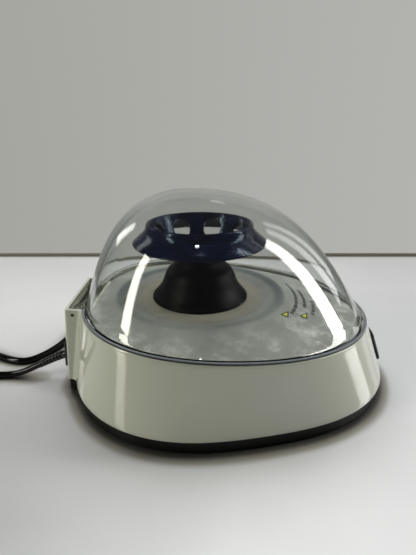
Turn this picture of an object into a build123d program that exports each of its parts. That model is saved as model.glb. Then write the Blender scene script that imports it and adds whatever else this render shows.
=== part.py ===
from build123d import *
import os
from math import sin, cos, tan, pi, radians, degrees, atan2, hypot, sqrt

# Bench-top mini centrifuge for micro tubes.
# Frame: +X to the nose (power switch), -X to the hinge box and the lead, +Z up.
# The drawing below is laid out about the rotor axis (x = y = 0) with z = 0 on the
# bench; the pieces are then written out with the origin under the middle of the machine.
# All lengths in millimetres.

# ---------------------------------------------------------------- driving dimensions
X_MID = 15.79                  # middle of the length, measured from the rotor axis
XO = 15.0                      # centre of the egg-shaped planform, ahead of the rotor axis
CB = [83.9, -0.63, 8.93, 2.93, -0.57, -0.14]   # planform at the shell's lower edge (cosine terms)
CR = [77.3, -2.2, 5.7, 1.86, -0.8, 0.35]       # planform at the rim
Z_SHELL = 8.0                  # lower edge of the ivory shell
Z_RIM = 47.2                   # rim height on the rotor axis
TILT = 0.067                   # the rim falls towards the nose by this slope
WALL = 2.5                     # shell wall
FOOT_H = 3.0                   # height of the feet under the pan
FOOT_R = 6.0
PAN_T = 2.0                    # pan floor

BLK_HALF = 24.5                # hinge box: half width
BLK_X_TOP = -73.0              # its back face at the top
BLK_X_BOT = -76.0              # and at the bottom
BLK_Z_BOT = 8.0
PIN_X, PIN_Z, PIN_R = -68.8, 48.8, 1.0         # hinge pin
KNUCKLE_R = 2.2
ARM_L = 7.5                    # hinge arm length from the pin
LID_GAP = 0.15                 # air under the closed lid
ARM_Y0, ARM_Y1 = 14.0, 19.0    # the lid's two hinge arms, mirrored

FLANGE_T = 1.8                 # lid rim flange
DOME_IN = 2.4                  # dome wall set in from the rim
DOME_T = 2.0                   # dome wall
APEX_X, APEX_Z = -4.0, 112.3   # top of the dome
REAR_BZ = (0.164, 0.513, 0.690)   # profile curve at the back
NOSE_BZ = (0.258, 0.579, 0.548)   # profile curve at the nose
DOME_S = [0.0, 0.16, 0.34, 0.52, 0.68, 0.81, 0.905, 0.965, 0.995]

RING_R, RING_Z = 48.5, 53.0    # raised ring on the deck
BOWL_R, BOWL_Z = 37.0, 50.8    # bowl floor inside the ring
DECK_T = 2.2
DECK_HOLE = 20.5

COWL = [(27.8, 50.9), (27.3, 52.2), (25.2, 54.3), (23.0, 57.4), (21.4, 60.5),
        (20.2, 64.2), (18.4, 67.4), (15.8, 69.8), (14.2, 72.0), (14.0, 76.0)]
COWL_T = 1.8

SHAFT_R = 2.0
BOSS_R = 5.0
HUB_Z = 77.2                   # underside of the metal rotor hub
ROTOR_Z = 78.6                 # underside of the rotor floor
SKIRT_R, SKIRT_Z = 37.7, 84.0  # edge of the rotor's conical skirt
CREST_R, CREST_Z = 28.8, 95.4  # crest of the rotor's dish
TUBE_R = 5.7                   # tube hole radius
TUBE_PCR, TUBE_Z = 24.5, 86.0  # where each tube axis crosses the dish wall
TUBE_TILT = 45.0               # tube axis below horizontal
TUBE_PHASE = 27.5
TUBES = 8

MOTOR_R, MOTOR_Z0, MOTOR_Z1 = 13.9, 27.0, 65.0
MPLATE_Z, MPLATE_T, MPLATE_R = 44.0, 1.5, 19.0
POST_R, POST_PCR = 4.0, 32.0

NOSE_ANGLE = 20.5              # slope of the nose wall from vertical
SW_Z = 18.6                    # height of the switch centre
SW_W, SW_H, SW_LIP = 15.0, 21.0, 1.8
ROCK_TILT = 12.0               # paddle tilt each side of level
PIVOT_R = 1.0                  # paddle's pivot stubs

CORD_R = 2.0
CORD_Y = -11.0                 # where the lead leaves the cord plate
COIL_C = (-38.0, 114.0)        # centre of the put-away coil
COIL_RI, COIL_RO, COIL_H = 15.0, 31.0, 8.6

os.makedirs("parts", exist_ok=True)

# ---------------------------------------------------------------- geometry helpers
NPTS = 30


def radius_at(c, a):
    return sum(c[k] * cos(k * a) for k in range(6))


def outline(c, inset, n=NPTS):
    """Points of the planform, moved in along its normal by inset."""
    pts = []
    for i in range(n):
        a = 2 * pi * i / n
        r = radius_at(c, a)
        dr = -sum(k * c[k] * sin(k * a) for k in range(6))
        tx, ty = dr * cos(a) - r * sin(a), dr * sin(a) + r * cos(a)
        t = hypot(tx, ty)
        pts.append((XO + r * cos(a) - inset * ty / t, r * sin(a) + inset * tx / t))
    return pts


def mix(ca, cb, t):
    return [ca[k] * (1 - t) + cb[k] * t for k in range(6)]


BETA = degrees(atan2(TILT, 1.0))


def tilted(z, tilt=TILT):
    """Plane that falls towards +X by tilt and crosses the rotor axis at z."""
    h = sqrt(1 + tilt * tilt)
    return Plane(origin=(0, 0, z), x_dir=(1 / h, 0, -tilt / h), z_dir=(tilt / h, 0, 1 / h))


def on_plane(pts, tilt=TILT):
    h = sqrt(1 + tilt * tilt)
    return [(x * h, y) for x, y in pts]


def dome_point(a, t, inset, drop):
    """Point of the dome at planform angle a; t runs from 0 at the rim to 1 at the top."""
    r = radius_at(CR, a)
    dr = -sum(k * CR[k] * sin(k * a) for k in range(6))
    tx, ty = dr * cos(a) - r * sin(a), dr * sin(a) + r * cos(a)
    n = hypot(tx, ty)
    bx, by = XO + r * cos(a) - inset * ty / n, r * sin(a) + inset * tx / n
    bz = Z_RIM - TILT * bx
    w = (1 + cos(a)) / 2
    A, B, C = [REAR_BZ[i] * (1 - w) + NOSE_BZ[i] * w for i in range(3)]
    d = (1 - t) ** 3 + 3 * (1 - t) ** 2 * t * (1 - A) + 3 * (1 - t) * t * t * C
    h = 3 * (1 - t) ** 2 * t * B + 3 * (1 - t) * t * t + t ** 3
    return (APEX_X + d * (bx - APEX_X), d * by, bz + h * (APEX_Z - drop - bz))


def dome_section(s, inset, drop):
    """Outline of the dome where it crosses the plane at fraction s of its height."""
    zp = Z_RIM + s * (APEX_Z - drop - Z_RIM)
    tl = TILT * (1 - s)
    pts = []
    for i in range(NPTS):
        a = 2 * pi * i / NPTS
        lo, hi = 0.0, 1.0
        for _ in range(50):
            m = (lo + hi) / 2
            x, y, z = dome_point(a, m, inset, drop)
            if z < zp - tl * x:
                lo = m
            else:
                hi = m
        x, y, z = dome_point(a, lo, inset, drop)
        pts.append((x, y))
    return zp, tl, pts


def save(bp, name):
    """Write one piece, with the origin moved to the middle of the machine's length."""
    piece = Pos(-X_MID, 0, 0) * bp.part
    piece.label = name
    export_step(piece, "parts/" + name + ".step")


# ---------------------------------------------------------------- ivory shell with the hinge box
Z_POCKET = 43.0
with BuildPart() as body_shell:
    with BuildSketch(Plane.XY.offset(Z_SHELL)):
        with BuildLine():
            Spline(outline(CB, 0), periodic=True)
        make_face()
    with BuildSketch(tilted(Z_RIM)):
        with BuildLine():
            Spline(on_plane(outline(CR, 0)), periodic=True)
        make_face()
    loft()
    # hinge box on the back wall
    with BuildSketch(Plane.XZ.offset(-BLK_HALF)):
        Polygon((BLK_X_TOP, Z_RIM - TILT * BLK_X_TOP), (-58.0, Z_RIM + TILT * 58.0),
                (-58.0, BLK_Z_BOT), (BLK_X_BOT, BLK_Z_BOT), align=None)
    extrude(amount=2 * BLK_HALF)
    # hollow inside
    with BuildSketch(Plane.XY.offset(Z_SHELL - 0.01)):
        with BuildLine():
            Spline(outline(CB, WALL), periodic=True)
        make_face()
    with BuildSketch(tilted(Z_RIM)):
        with BuildLine():
            Spline(on_plane(outline(CR, WALL)), periodic=True)
        make_face()
    loft(mode=Mode.SUBTRACT)
    # room inside the hinge box, open to the body
    with BuildSketch(Plane.XZ.offset(-(BLK_HALF - 1.7))):
        Polygon((-71.9, 40.4), (-60.0, 40.4), (-60.0, 10.6), (-73.9, 10.6), align=None)
    extrude(amount=2 * (BLK_HALF - 1.7), mode=Mode.SUBTRACT)
    # walls of the pocket that takes the lid's arms
    with BuildSketch(Plane.XZ.offset(-BLK_HALF)):
        Polygon((-68.0, Z_RIM + TILT * 68.0), (-59.4, Z_RIM + TILT * 59.4),
                (-59.4, 40.4), (-72.0, 40.4), align=None)
    extrude(amount=2 * BLK_HALF)
    with BuildSketch(Plane.XZ.offset(-(BLK_HALF - 1.7))):
        Polygon((-71.4, 60.0), (-60.8, 60.0), (-60.8, Z_POCKET), (-71.4, Z_POCKET), align=None)
    extrude(amount=2 * (BLK_HALF - 1.7), mode=Mode.SUBTRACT)
    # bores for the hinge pin
    with BuildSketch(Plane.XZ.offset(-40)):
        with Locations((PIN_X, PIN_Z)):
            Circle(PIN_R)
    extrude(amount=80, mode=Mode.SUBTRACT)
    # ledge that carries the deck
    with BuildSketch(tilted(Z_RIM - 5.2)) as ledge_sk:
        with BuildLine():
            Spline(on_plane(outline(CR, 1.2)), periodic=True)
        make_face()
        with BuildLine():
            Spline(on_plane(outline(CR, 5.0)), periodic=True)
        make_face(mode=Mode.SUBTRACT)
        with Locations((-66, 0)):
            Rectangle(14, 2 * BLK_HALF, mode=Mode.SUBTRACT)
    extrude(amount=1.5)
    # opening for the switch in the nose
    ca, sa = cos(radians(NOSE_ANGLE)), sin(radians(NOSE_ANGLE))
    SW_X = XO + sum(CB) - (SW_Z - Z_SHELL) * tan(radians(NOSE_ANGLE)) + 0.25
    sw_plane = Plane(origin=(SW_X, 0, SW_Z), x_dir=(0, 1, 0), z_dir=(ca, 0, sa))
    with BuildSketch(sw_plane.offset(-12)):
        Rectangle(13.2, 19.2)
    extrude(amount=20, mode=Mode.SUBTRACT)
    # seat for the cord plate and hole for the lead, hole for the fuse cap
    with BuildSketch(Plane.YZ.offset(-90)):
        with Locations((CORD_Y, 17.4)):
            Circle(4.2)
        with Locations((-12.0, 31.0)):
            Circle(3.0)
    extrude(amount=18.2, mode=Mode.SUBTRACT)
    # screw bosses for the pan
    with BuildSketch(Plane.XY.offset(Z_SHELL)):
        with Locations((62, 38), (62, -38), (-42, 46), (-42, -46)):
            Circle(4.0)
            Circle(1.6, mode=Mode.SUBTRACT)
    extrude(amount=14)
    # ribs that tie each boss to the wall
    for bx, by in ((62, 38), (62, -38), (-42, 46), (-42, -46)):
        ang = degrees(atan2(by, bx - XO))
        rw = radius_at(mix(CB, CR, 0.2), radians(ang)) - 1.4
        d = hypot(bx - XO, by)
        with BuildSketch(Plane(origin=(XO, 0, Z_SHELL), x_dir=(cos(radians(ang)), sin(radians(ang)), 0), z_dir=(0, 0, 1))):
            with Locations(((d + 3.4 + rw) / 2, 0)):
                Rectangle(rw - d - 3.4, 2.0)
        extrude(amount=12)
save(body_shell, "body_shell")

# ---------------------------------------------------------------- base pan
POSTS = [(POST_PCR * cos(radians(a)), POST_PCR * sin(radians(a))) for a in (0, 120, 240)]
FEET = [(76, 34), (76, -34), (-50, 32), (-50, -32)]
BOSSES = [(62, 38), (62, -38), (-42, 46), (-42, -46)]
with BuildPart() as base_pan:
    with BuildSketch(Plane.XY.offset(FOOT_H)):
        with BuildLine():
            Spline(outline(CB, 2.2), periodic=True)
        make_face()
    with BuildSketch(Plane.XY.offset(Z_SHELL)):
        with BuildLine():
            Spline(outline(CB, 1.0), periodic=True)
        make_face()
    loft()
    with BuildSketch(Plane.XY.offset(FOOT_H + PAN_T)):
        with BuildLine():
            Spline(outline(CB, 4.4), periodic=True)
        make_face()
    with BuildSketch(Plane.XY.offset(Z_SHELL)):
        with BuildLine():
            Spline(outline(CB, 3.2), periodic=True)
        make_face()
    loft(mode=Mode.SUBTRACT)
    # tab under the hinge box
    with BuildSketch(Plane.XY.offset(FOOT_H)):
        with Locations((-71.6, 0)):
            Rectangle(6.8, 2 * BLK_HALF - 2)
    extrude(amount=BLK_Z_BOT - FOOT_H)
    # motor posts and screw pads
    with BuildSketch(Plane.XY.offset(FOOT_H + 0.5)):
        with Locations(*POSTS):
            Circle(POST_R)
    extrude(amount=39.5 - FOOT_H)
    with BuildSketch(Plane.XY.offset(FOOT_H + 0.5)):
        with Locations(*BOSSES):
            Circle(4.0)
    extrude(amount=Z_SHELL - FOOT_H - 0.5)
    with BuildSketch(Plane.XY.offset(25)):
        with Locations(*POSTS):
            Circle(1.7)
    extrude(amount=30, mode=Mode.SUBTRACT)
    # recesses for the feet and counterbored screw holes
    with BuildSketch(Plane.XY.offset(FOOT_H)):
        with Locations(*FEET):
            Circle(3.0)
    extrude(amount=1.2, mode=Mode.SUBTRACT)
    with BuildSketch(Plane.XY.offset(FOOT_H)):
        with Locations(*BOSSES):
            Circle(3.1)
    extrude(amount=2.4, mode=Mode.SUBTRACT)
    with BuildSketch(Plane.XY.offset(FOOT_H)):
        with Locations(*BOSSES):
            Circle(1.7)
    extrude(amount=10, mode=Mode.SUBTRACT)
save(base_pan, "base_pan")

# ---------------------------------------------------------------- rubber feet
with BuildPart() as rubber_feet:
    for fx, fy in FEET:
        with BuildSketch(Plane.XY):
            with Locations((fx, fy)):
                Circle(FOOT_R)
        extrude(amount=FOOT_H)
        with BuildSketch(Plane.XY.offset(FOOT_H)):
            with Locations((fx, fy)):
                Circle(2.95)
        extrude(amount=1.1)
save(rubber_feet, "rubber_feet")

# ---------------------------------------------------------------- pan screws
with BuildPart() as pan_screws:
    for bx, by in BOSSES:
        with BuildSketch(Plane.XY.offset(FOOT_H + 0.4)):
            with Locations((bx, by)):
                Circle(2.8)
        extrude(amount=2.0)
        with BuildSketch(Plane.XY.offset(FOOT_H + 2.4)):
            with Locations((bx, by)):
                Circle(1.5)
        extrude(amount=14)
save(pan_screws, "pan_screws")

# ---------------------------------------------------------------- deck
DK_IN = 3.1
ring_pts = []
ring_in = []
for px_, py_ in outline(CR, DK_IN):
    aa = atan2(py_, px_)
    ring_pts.append((RING_R * cos(aa) * 1.02, RING_R * sin(aa) * 1.02))
    ring_in.append((46.5 * cos(aa), 46.5 * sin(aa)))
with BuildPart() as deck:
    with BuildSketch(tilted(Z_RIM - 1.0)):
        with BuildLine():
            Spline(on_plane(outline(CR, DK_IN)), periodic=True)
        make_face()
    extrude(amount=-2.6)
    with BuildSketch(tilted(Z_RIM - 1.0)):
        with BuildLine():
            Spline(on_plane(outline(CR, DK_IN)), periodic=True)
        make_face()
    with BuildSketch(Plane.XY.offset(RING_Z)):
        with BuildLine():
            Spline(ring_pts, periodic=True)
        make_face()
    loft()
    with BuildSketch(tilted(Z_RIM - 3.7)):
        with BuildLine():
            Spline(on_plane(outline(CR, DK_IN + 2.2)), periodic=True)
        make_face()
    with BuildSketch(Plane.XY.offset(BOWL_Z - DECK_T)):
        with BuildLine():
            Spline(ring_in, periodic=True)
        make_face()
    loft(mode=Mode.SUBTRACT)
    # shallow bowl inside the ring, and the hole under the cowl
    with BuildSketch(Plane.XZ):
        Polygon((0, 40), (DECK_HOLE, 40), (DECK_HOLE, BOWL_Z), (BOWL_R, BOWL_Z), (RING_R - 0.8, RING_Z), (RING_R - 0.8, 60), (0, 60), align=None)
    revolve(axis=Axis.Z, mode=Mode.SUBTRACT)
    with BuildSketch(Plane.XY.offset(40)):
        with Locations((24.6, 0), (-24.6, 0)):
            Circle(1.25)
    extrude(amount=20, mode=Mode.SUBTRACT)
    # clear of the hinge pocket
    with BuildSketch(Plane.XY.offset(30)):
        with Locations((-69, 0)):
            Rectangle(19.8, 2 * BLK_HALF + 0.8)
    extrude(amount=40, mode=Mode.SUBTRACT)
save(deck, "deck")

# ---------------------------------------------------------------- motor cowl
cowl_in = [(r - COWL_T, z - (0 if i == 0 else (0.6 if i < 8 else 1.6))) for i, (r, z) in enumerate(COWL)]
with BuildPart() as motor_cowl:
    with BuildSketch(Plane.XZ):
        with BuildLine():
            Spline([COWL[i] for i in range(9)])
            Polyline(COWL[8], (14.0, 75.2), (13.2, 76.0), (4.0, 76.0), (4.0, 74.2), (12.2, 74.2), (12.3, 71.5))
            Spline([(12.3, 71.5), (14.0, 69.0), (16.6, 66.8), (18.3, 63.8), (19.5, 60.1), (21.2, 56.6), (23.5, 53.5), (25.6, 51.6), (26.0, 50.9)])
            Line((26.0, 50.9), COWL[0])
        make_face()
    revolve(axis=Axis.Z)
    # two pegs that locate the cowl in the deck
    with BuildSketch(Plane.XY.offset(48.7)):
        with Locations((24.6, 0), (-24.6, 0)):
            Circle(1.2)
    extrude(amount=3.4)
save(motor_cowl, "motor_cowl")

# ---------------------------------------------------------------- motor and its mounting
with BuildPart() as motor_can:
    with BuildSketch(Plane.XY.offset(MOTOR_Z0)):
        Circle(MOTOR_R)
    extrude(amount=MOTOR_Z1 - MOTOR_Z0)
    chamfer(motor_can.edges().filter_by(GeomType.CIRCLE), length=0.8)
    with BuildSketch(Plane.XY.offset(MOTOR_Z1)):
        Circle(BOSS_R)
    extrude(amount=3.0)
    with BuildSketch(Plane.XY.offset(50)):
        Circle(SHAFT_R + 0.05)
    extrude(amount=30, mode=Mode.SUBTRACT)
    with BuildSketch(Plane.XY.offset(MOTOR_Z0 - 5)):
        with Locations((8, 0), (-8, 0)):
            Rectangle(0.8, 3.0)
    extrude(amount=5)
save(motor_can, "motor_can")

with BuildPart() as motor_plate:
    with BuildSketch(Plane.XY.offset(MPLATE_Z)):
        Circle(MPLATE_R)
        for x0, y0 in POSTS:
            with Locations((x0, y0)):
                Circle(6.0)
        for a in (0, 120, 240):
            with Locations(Location((POST_PCR / 2 * cos(radians(a)), POST_PCR / 2 * sin(radians(a)), 0), a)):
                Rectangle(POST_PCR, 9.0)
        Circle(MOTOR_R, mode=Mode.SUBTRACT)
        with Locations(*POSTS):
            Circle(1.75, mode=Mode.SUBTRACT)
    extrude(amount=MPLATE_T)
save(motor_plate, "motor_plate")

with BuildPart() as motor_grommets:
    for x0, y0 in POSTS:
        with BuildSketch(Plane.XY.offset(40.0)):
            with Locations((x0, y0)):
                Circle(4.6)
                Circle(1.8, mode=Mode.SUBTRACT)
        extrude(amount=4.0)
save(motor_grommets, "motor_grommets")

with BuildPart() as motor_screws:
    for x0, y0 in POSTS:
        with BuildSketch(Plane.XY.offset(MPLATE_Z + MPLATE_T)):
            with Locations((x0, y0)):
                Circle(3.0)
        extrude(amount=1.8)
        with BuildSketch(Plane.XY.offset(28.0)):
            with Locations((x0, y0)):
                Circle(1.6)
        extrude(amount=MPLATE_Z + MPLATE_T - 28.0)
save(motor_screws, "motor_screws")

# ---------------------------------------------------------------- rotor side: shaft, hub, rotor, nut
with BuildPart() as motor_shaft:
    with BuildSketch(Plane.XY.offset(51.0)):
        Circle(SHAFT_R)
    extrude(amount=86.0 - 51.0)
    chamfer(motor_shaft.edges().filter_by(GeomType.CIRCLE).sort_by(Axis.Z)[-1], length=0.4)
save(motor_shaft, "motor_shaft")

with BuildPart() as rotor_hub:
    with BuildSketch(Plane.XY.offset(HUB_Z)):
        Circle(9.0)
    extrude(amount=ROTOR_Z - HUB_Z)
    with BuildSketch(Plane.XY.offset(ROTOR_Z)):
        Circle(4.0)
    extrude(amount=2.4)
    with BuildSketch(Plane.XY.offset(HUB_Z - 1)):
        Circle(SHAFT_R)
    extrude(amount=12, mode=Mode.SUBTRACT)
save(rotor_hub, "rotor_hub")

with BuildPart() as rotor:
    with BuildSketch(Plane.XZ):
        with BuildLine():
            Polyline((4.03, ROTOR_Z), (23.4, ROTOR_Z), (28.3, 89.9), (29.2, 89.84), (36.6, 82.84), (SKIRT_R, SKIRT_Z),
                     (31.4, 89.96))
            Spline([(31.4, 89.96), (30.3, 91.5), (29.9, 93.4)], tangents=[(-0.72, 0.68), (-0.05, 1.0)])
            ThreePointArc((29.9, 93.4), (29.1, 95.1), (27.9, 94.2))
            Polyline((27.9, 94.2), (22.3, 81.0), (4.03, 81.0), (4.03, ROTOR_Z))
        make_face()
    revolve(axis=Axis.Z)
    for i in range(TUBES):
        a = radians(TUBE_PHASE + i * 360.0 / TUBES)
        ct, st = cos(radians(TUBE_TILT)), sin(radians(TUBE_TILT))
        d = (ct * cos(a), ct * sin(a), -st)
        o = (TUBE_PCR * cos(a) - 9 * d[0], TUBE_PCR * sin(a) - 9 * d[1], TUBE_Z - 9 * d[2])
        with BuildSketch(Plane(origin=o, z_dir=d)):
            Circle(TUBE_R)
        extrude(amount=21, mode=Mode.SUBTRACT)
save(rotor, "rotor")

with BuildPart() as rotor_nut:
    with BuildSketch(Plane.XY.offset(81.0)):
        Circle(7.0)
        with PolarLocations(7.0, 12):
            Circle(0.7, mode=Mode.SUBTRACT)
    extrude(amount=4.6)
    with BuildSketch(Plane.XY.offset(80)):
        Circle(SHAFT_R + 0.02)
    extrude(amount=12, mode=Mode.SUBTRACT)
save(rotor_nut, "rotor_nut")

# ---------------------------------------------------------------- clear lid
MAG_X = XO + sum(CR) - 2.4
with BuildPart() as lid_dome:
    for s in DOME_S:
        zp, tl, pts = dome_section(s, DOME_IN, 0.0)
        with BuildSketch(tilted(zp, tl)):
            with BuildLine():
                Spline(on_plane(pts, tl), periodic=True)
            make_face()
    loft()
    # rim flange
    with BuildSketch(tilted(Z_RIM)):
        with BuildLine():
            Spline(on_plane(outline(CR, 0.2)), periodic=True)
        make_face()
        with Locations((-74.3, 0)):
            Rectangle(20.0, 2 * BLK_HALF + 0.8, mode=Mode.SUBTRACT)
    extrude(amount=FLANGE_T)
    # hollow under the dome
    for s in DOME_S:
        zp, tl, pts = dome_section(s, DOME_IN + DOME_T, DOME_T)
        with BuildSketch(tilted(zp, tl)):
            with BuildLine():
                Spline(on_plane(pts, tl), periodic=True)
            make_face()
    loft(mode=Mode.SUBTRACT)
    # the closed lid stands a hair above the rim
    with BuildSketch(tilted(Z_RIM).offset(-1.0)):
        with Locations((XO, 0)):
            Rectangle(240, 200)
    extrude(amount=1.0 + LID_GAP, mode=Mode.SUBTRACT)
    # pocket for the interlock magnet, open below
    with BuildSketch(tilted(Z_RIM)):
        with Locations((MAG_X, 0)):
            Circle(1.85)
    extrude(amount=1.2, mode=Mode.SUBTRACT)
    # hinge arms
    ux, uz = 0.8816, 0.4714
    for y0 in (ARM_Y0, -ARM_Y1):
        with BuildSketch(Plane.XZ.offset(-y0)):
            with Locations((PIN_X, PIN_Z)):
                Circle(KNUCKLE_R)
            Polygon((PIN_X - 1.4 * uz, PIN_Z + 1.4 * ux), (PIN_X + 1.4 * uz, PIN_Z - 1.4 * ux),
                    (PIN_X + ARM_L * ux + 1.4 * uz, PIN_Z + ARM_L * uz - 1.4 * ux),
                    (PIN_X + ARM_L * ux - 1.4 * uz, PIN_Z + ARM_L * uz + 1.4 * ux), align=None)
            with Locations((PIN_X, PIN_Z)):
                Circle(PIN_R + 0.05, mode=Mode.SUBTRACT)
        extrude(amount=-(ARM_Y1 - ARM_Y0))
save(lid_dome, "lid_dome")

with BuildPart() as hinge_pin:
    with BuildSketch(Plane.XZ.offset(BLK_HALF - 0.2)):
        with Locations((PIN_X, PIN_Z)):
            Circle(PIN_R)
    extrude(amount=-(2 * BLK_HALF - 0.4))
save(hinge_pin, "hinge_pin")

# ---------------------------------------------------------------- lid interlock
with BuildPart() as lid_magnet:
    with BuildSketch(tilted(Z_RIM).offset(LID_GAP)):
        with Locations((MAG_X, 0)):
            Circle(1.85)
    extrude(amount=1.05)
save(lid_magnet, "lid_magnet")

with BuildPart() as reed_switch:
    with BuildSketch(tilted(Z_RIM - 9.25)):
        with Locations((MAG_X - 2.6, 0)):
            Rectangle(5.0, 16.0)
    extrude(amount=4.0)
save(reed_switch, "reed_switch")

# ---------------------------------------------------------------- power switch
with BuildPart() as rocker_bezel:
    with BuildSketch(sw_plane.offset(-0.1)):
        RectangleRounded(SW_W, SW_H, 3.4)
    extrude(amount=SW_LIP)
    with BuildSketch(sw_plane.offset(-13.0)):
        Rectangle(12.8, 18.8)
    extrude(amount=13.2)
    with BuildSketch(sw_plane.offset(-9.0)):
        Rectangle(10.6, 16.8)
    extrude(amount=14.0, mode=Mode.SUBTRACT)
    with BuildSketch(sw_plane.offset(-18.0)):
        with Locations((0, 5), (0, -5)):
            Rectangle(4.6, 0.8)
    extrude(amount=5.0)
    # round holes in the two side walls take the paddle's pivot stubs
    with BuildSketch(Plane(origin=sw_plane.offset(-2.0).origin, z_dir=(0, 1, 0)).offset(-7.0)):
        Circle(PIVOT_R + 0.05)
    extrude(amount=14.0, mode=Mode.SUBTRACT)
save(rocker_bezel, "rocker_bezel")


def rock(y, z, deg):
    """Turn a point of the paddle's profile about its pivot, 2 mm under the nose surface."""
    c, s = cos(radians(deg)), sin(radians(deg))
    return (c * y - s * (z + 2), s * y + c * (z + 2) - 2)


with BuildPart() as rocker_paddle:
    prof = [(-7.2, 0.5), (-6.7, 1.0), (-3.0, 1.2), (0.0, 1.3), (3.0, 1.2), (6.7, 1.0), (7.2, 0.5), (6.6, -2.5), (2.0, -5.6), (-2.0, -5.6), (-6.6, -2.5)]
    pr_ = [rock(y, z, -ROCK_TILT) for y, z in prof]
    with BuildSketch(Plane(origin=sw_plane.origin, x_dir=(-sa, 0, ca), z_dir=(0, -1, 0)).offset(-5.0)):
        Polygon(*pr_, align=None)
    extrude(amount=10.0)
    with BuildSketch(Plane(origin=sw_plane.offset(-2.0).origin, z_dir=(0, 1, 0)).offset(-6.1)):
        Circle(PIVOT_R)
    extrude(amount=12.2)
save(rocker_paddle, "rocker_paddle")

# ---------------------------------------------------------------- cord plate, fuse cap, strain relief
def back_x(z):
    return BLK_X_BOT + (z - BLK_Z_BOT) * (BLK_X_TOP - BLK_X_BOT) / (Z_RIM - TILT * BLK_X_TOP - BLK_Z_BOT)


with BuildPart() as cord_plate:
    with BuildSketch(Plane.XZ.offset(16.5)):
        Polygon((back_x(11.0), 11.0), (back_x(26.4), 26.4), (back_x(26.4) - 4.0, 26.4), (back_x(11.0) - 4.0, 11.0), align=None)
    extrude(amount=-21.0)
    with BuildSketch(Plane.YZ.offset(-90)):
        with Locations((CORD_Y, 17.4)):
            Circle(3.0)
    extrude(amount=25, mode=Mode.SUBTRACT)
save(cord_plate, "cord_plate")

with BuildPart() as fuse_cap:
    with BuildSketch(Plane.YZ.offset(back_x(31.0))):
        with Locations((-12.0, 31.0)):
            Circle(2.9)
    extrude(amount=8.0)
    with BuildSketch(Plane(origin=(back_x(31.0) - 0.05, -12.0, 31.0), x_dir=(0, 1, 0), z_dir=(-0.9975, 0, 0.07))):
        Circle(4.6)
    extrude(amount=3.2)
    fillet(fuse_cap.faces().sort_by(Axis.X)[0].edges(), radius=1.2)
save(fuse_cap, "fuse_cap")

# lead: leaves the plate, droops to the bench, turns round and runs behind the machine to a coil
ZC = CORD_R + 0.05
CORD_Z = 17.4
RELIEF_A = (back_x(CORD_Z) - 5.2, CORD_Y, CORD_Z)
RELIEF_B = (-97.5, -10.9, 9.0)
ROUTE = [RELIEF_B, (RELIEF_B[0] + (RELIEF_A[0] - RELIEF_B[0]) * (ZC - RELIEF_B[2]) / (RELIEF_A[2] - RELIEF_B[2]), -10.82, ZC),
         (-126.0, -11.4, ZC), (-142.0, -15.0, ZC), (-159.0, -20.5, ZC), (-176.0, -20.5, ZC),
         (-191.5, -11.0, ZC), (-197.5, 6.5, ZC), (-190.5, 24.5, ZC), (-173.0, 32.5, ZC), (-155.5, 24.5, ZC),
         (-139.0, 13.5, ZC), (-122.0, 4.5, ZC), (-104.5, 9.0, ZC), (-95.5, 25.5, ZC), (-94.0, 44.0, ZC), (-93.5, 62.5, ZC),
         (-85.0, 77.5, ZC), (-70.0, 84.5, ZC), (-54.5, 84.9, ZC)]


def bend_radii(pts):
    out = []
    for i in range(1, len(pts) - 1):
        a, b, c = Vector(*pts[i - 1]), Vector(*pts[i]), Vector(*pts[i + 1])
        l = min((b - a).length, (c - b).length)
        turn = (b - a).get_angle(c - b)
        out.append(0.45 * l / tan(radians(turn) / 2))
    return out


def tube(bp_name, pts):
    radii = bend_radii(pts)
    print(bp_name, "radii mm", [round(r, 1) for r in radii])
    with BuildPart() as t:
        with BuildLine() as path:
            FilletPolyline(*pts, radius=radii)
        w = path.wires()[0] if len(path.wires()) else path.line
        d0 = Vector(*pts[1]) - Vector(*pts[0])
        with BuildSketch(Plane(origin=pts[0], z_dir=d0)):
            Circle(CORD_R)
        sweep()
    ln = sum(e.length for e in path.edges())
    print(bp_name, "length mm", round(ln, 1), "volume ratio", round(t.part.volume / (pi * CORD_R ** 2 * ln), 4))
    save(t, bp_name)
    return ln


with BuildPart() as strain_relief:
    dv = Vector(*RELIEF_B) - Vector(*RELIEF_A)
    ax = Plane(origin=RELIEF_A, z_dir=dv)
    with BuildSketch(ax):
        Circle(2.8)
    with BuildSketch(ax.offset(dv.length)):
        Circle(2.2)
    loft()
    with BuildSketch(Plane.YZ.offset(RELIEF_A[0] - 0.2)):
        with Locations((CORD_Y, 17.4)):
            Circle(2.8)
    extrude(amount=8.0)
save(strain_relief, "strain_relief")

L1 = tube("power_cord", ROUTE)

with BuildPart() as cord_coil:
    with BuildSketch(Plane.XY.offset(0.05)):
        with Locations(COIL_C):
            Circle(COIL_RO)
            Circle(COIL_RI, mode=Mode.SUBTRACT)
    extrude(amount=COIL_H)
    fillet(cord_coil.edges().filter_by(GeomType.CIRCLE), radius=2.6)
save(cord_coil, "cord_coil")

TAIL = [(-20.0, 84.9, 4.4), (-3.0, 86.0, ZC), (17.0, 88.0, ZC), (35.0, 91.0, ZC),
        (51.0, 95.0, 3.4), (65.0, 98.5, 6.4)]
L2 = tube("cord_tail", TAIL)
print("lead outside the coil mm", round(L1 + L2, 1))

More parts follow.
